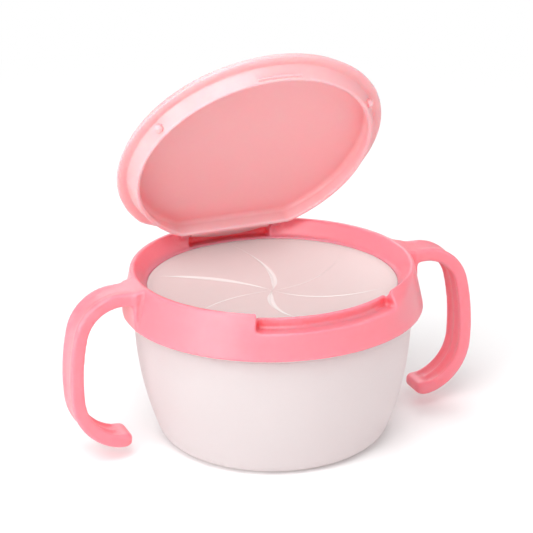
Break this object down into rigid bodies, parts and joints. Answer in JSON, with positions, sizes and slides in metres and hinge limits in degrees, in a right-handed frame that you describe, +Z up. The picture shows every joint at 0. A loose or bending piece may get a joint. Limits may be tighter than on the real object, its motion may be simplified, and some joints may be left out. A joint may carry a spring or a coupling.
{
  "type": "toddler snack container",
  "caption": "Round lidded snack bowl with a screw-on collar, two hook handles and a soft slit membrane that a small hand reaches through.",
  "frame": {"origin": "centre of the flat underside of the bowl, where it rests on a table", "axes": "+Z up along the bowl's axis, the two handles along X, the lid's hinge on the +Y side and the thumb notch on the -Y side"},
  "size_m": [0.1654, 0.115, 0.1511],
  "materials": {
    "bowl_plastic": "frosted translucent polypropylene, satin",
    "membrane": "milky translucent soft elastomer",
    "collar_plastic": "moulded pink polypropylene, soft gloss",
    "lid_plastic": "moulded pink polypropylene, soft gloss"
  },
  "bodies": {
    "bowl": {"bowl": "bowl_plastic"},
    "membrane": {"membrane_ring": "membrane"},
    "collar": {"collar": "collar_plastic", "left_handle": "collar_plastic", "right_handle": "collar_plastic"},
    "lid": {"lid": "lid_plastic"},
    "flap_1": {"flap_1": "membrane"},
    "flap_2": {"flap_2": "membrane"},
    "flap_3": {"flap_3": "membrane"},
    "flap_4": {"flap_4": "membrane"},
    "flap_5": {"flap_5": "membrane"},
    "flap_6": {"flap_6": "membrane"}
  },
  "joints": [
    {"name": "collar_lift", "type": "slide", "parent": "bowl", "child": "membrane", "axis": [0, 0, 1], "range_m": [0, 0.0041]},
    {"name": "collar_turn", "type": "hinge", "parent": "membrane", "child": "collar", "pos_m": [0, 0, 0.0595], "axis": [0, 0, 1], "range_deg": [0, 180]},
    {"name": "lid_hinge", "type": "hinge", "parent": "collar", "child": "lid", "pos_m": [0, 0.0462, 0.0684], "axis": [-1, 0, 0], "range_deg": [-55.8, 47]},
    {"name": "flap_1_bend", "type": "hinge", "parent": "membrane", "child": "flap_1", "pos_m": [0.01926, 0.03336, 0.0599], "axis": [-0.866, 0.5, 0], "range_deg": [-60, 35], "stiffness_Nm_per_rad": 0.01},
    {"name": "flap_2_bend", "type": "hinge", "parent": "membrane", "child": "flap_2", "pos_m": [-0.01926, 0.03336, 0.0599], "axis": [-0.866, -0.5, 0], "range_deg": [-60, 35], "stiffness_Nm_per_rad": 0.01},
    {"name": "flap_3_bend", "type": "hinge", "parent": "membrane", "child": "flap_3", "pos_m": [-0.03852, 0, 0.0599], "axis": [0, -1, 0], "range_deg": [-60, 35], "stiffness_Nm_per_rad": 0.01},
    {"name": "flap_4_bend", "type": "hinge", "parent": "membrane", "child": "flap_4", "pos_m": [-0.01926, -0.03336, 0.0599], "axis": [0.866, -0.5, 0], "range_deg": [-60, 35], "stiffness_Nm_per_rad": 0.01},
    {"name": "flap_5_bend", "type": "hinge", "parent": "membrane", "child": "flap_5", "pos_m": [0.01926, -0.03336, 0.0599], "axis": [0.866, 0.5, 0], "range_deg": [-60, 35], "stiffness_Nm_per_rad": 0.01},
    {"name": "flap_6_bend", "type": "hinge", "parent": "membrane", "child": "flap_6", "pos_m": [0.03852, 0, 0.0599], "axis": [0, 1, 0], "range_deg": [-60, 35], "stiffness_Nm_per_rad": 0.01}
  ],
  "couplings": [
    {"joint": "collar_lift", "follows": "collar_turn", "m_per_rad": 0.0012732}
  ]
}
